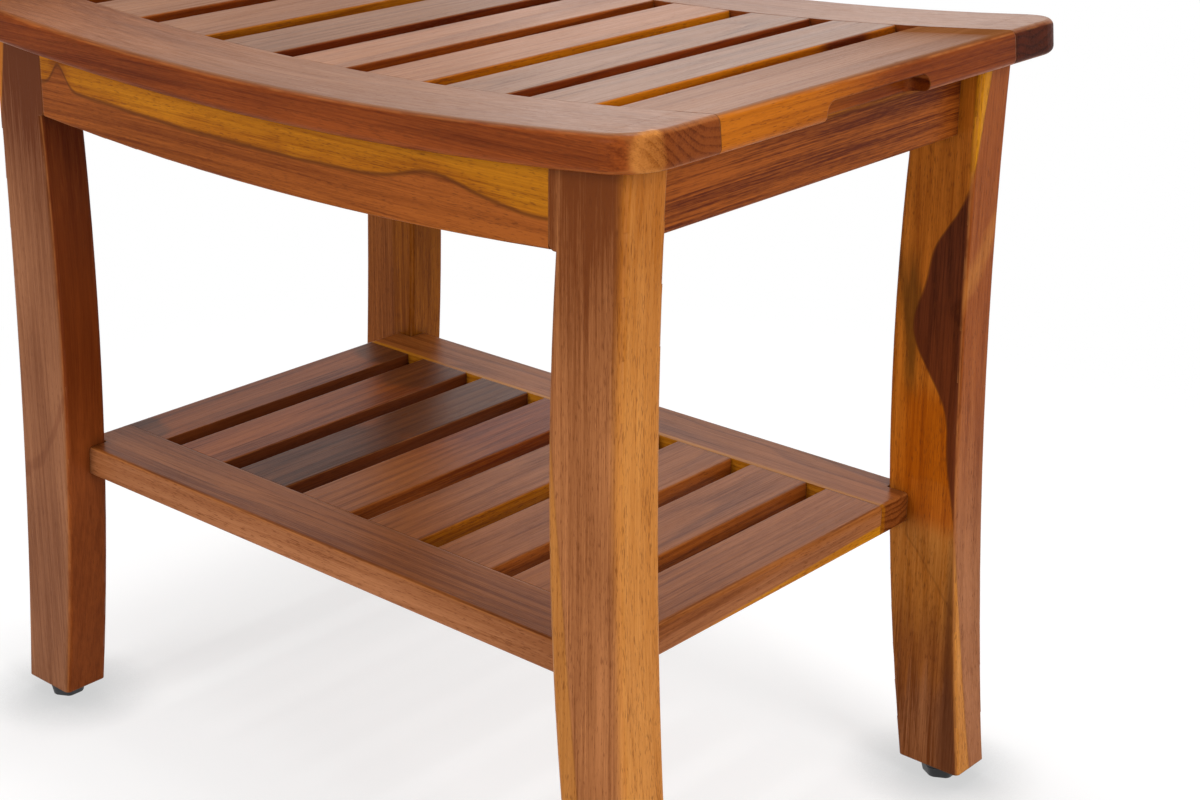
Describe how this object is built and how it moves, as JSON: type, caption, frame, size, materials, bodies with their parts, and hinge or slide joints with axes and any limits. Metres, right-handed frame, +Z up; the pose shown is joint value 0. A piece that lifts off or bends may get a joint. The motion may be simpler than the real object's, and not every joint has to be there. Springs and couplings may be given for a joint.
{
  "type": "shower bench",
  "caption": "Slatted shower bench with a dished seat, bowed legs, a storage shelf, finger grips in the seat's ends and screw-in levelling feet.",
  "frame": {"origin": "on the floor, under the middle of the bench", "axes": "+X along the bench to its right end, +Y from front to back, +Z up"},
  "size_m": [0.5268, 0.362, 0.4563],
  "materials": {
    "teak_seat": "oiled satin teak, reddish brown",
    "teak_apron": "oiled satin teak, golden brown with sapwood",
    "teak_leg": "oiled satin teak, reddish brown",
    "teak_shelf": "oiled satin teak, brown",
    "teak_hidden": "planed teak, unfinished",
    "stainless_steel": "plain stainless steel",
    "brass": "plain brass",
    "black_plastic": "matte black plastic"
  },
  "bodies": {
    "bench": {"seat_front_rail": "teak_seat", "seat_rear_rail": "teak_seat", "seat_end_slat_left": "teak_seat", "seat_end_slat_right": "teak_seat", "seat_slat_1": "teak_seat", "seat_slat_2": "teak_seat", "seat_slat_3": "teak_seat", "seat_slat_4": "teak_seat", "seat_slat_5": "teak_seat", "seat_slat_6": "teak_seat", "seat_slat_7": "teak_seat", "front_apron": "teak_apron", "rear_apron": "teak_apron", "side_apron_left": "teak_apron", "side_apron_right": "teak_apron", "leg_front_left": "teak_leg", "leg_front_right": "teak_leg", "leg_rear_left": "teak_leg", "leg_rear_right": "teak_leg", "shelf_front_rail": "teak_shelf", "shelf_rear_rail": "teak_shelf", "shelf_end_slat_left": "teak_shelf", "shelf_end_slat_right": "teak_shelf", "shelf_slat_1": "teak_shelf", "shelf_slat_2": "teak_shelf", "shelf_slat_3": "teak_shelf", "shelf_slat_4": "teak_shelf", "shelf_slat_5": "teak_shelf", "shelf_slat_6": "teak_shelf", "seat_cleat_front": "teak_hidden", "seat_cleat_rear": "teak_hidden", "shelf_dowels": "teak_hidden", "cleat_apron_screws": "stainless_steel", "cleat_seat_screws": "stainless_steel", "foot_inserts": "brass"},
    "foot_front_left": {"foot_pad_front_left": "black_plastic", "foot_stem_front_left": "stainless_steel"},
    "foot_front_right": {"foot_pad_front_right": "black_plastic", "foot_stem_front_right": "stainless_steel"},
    "foot_rear_left": {"foot_pad_rear_left": "black_plastic", "foot_stem_rear_left": "stainless_steel"},
    "foot_rear_right": {"foot_pad_rear_right": "black_plastic", "foot_stem_rear_right": "stainless_steel"}
  },
  "joints": [
    {"name": "foot_front_left_screw", "type": "slide", "parent": "bench", "child": "foot_front_left", "axis": [0, 0, -1], "range_m": [0, 0.006]},
    {"name": "foot_front_right_screw", "type": "slide", "parent": "bench", "child": "foot_front_right", "axis": [0, 0, -1], "range_m": [0, 0.006]},
    {"name": "foot_rear_left_screw", "type": "slide", "parent": "bench", "child": "foot_rear_left", "axis": [0, 0, -1], "range_m": [0, 0.006]},
    {"name": "foot_rear_right_screw", "type": "slide", "parent": "bench", "child": "foot_rear_right", "axis": [0, 0, -1], "range_m": [0, 0.006]}
  ]
}
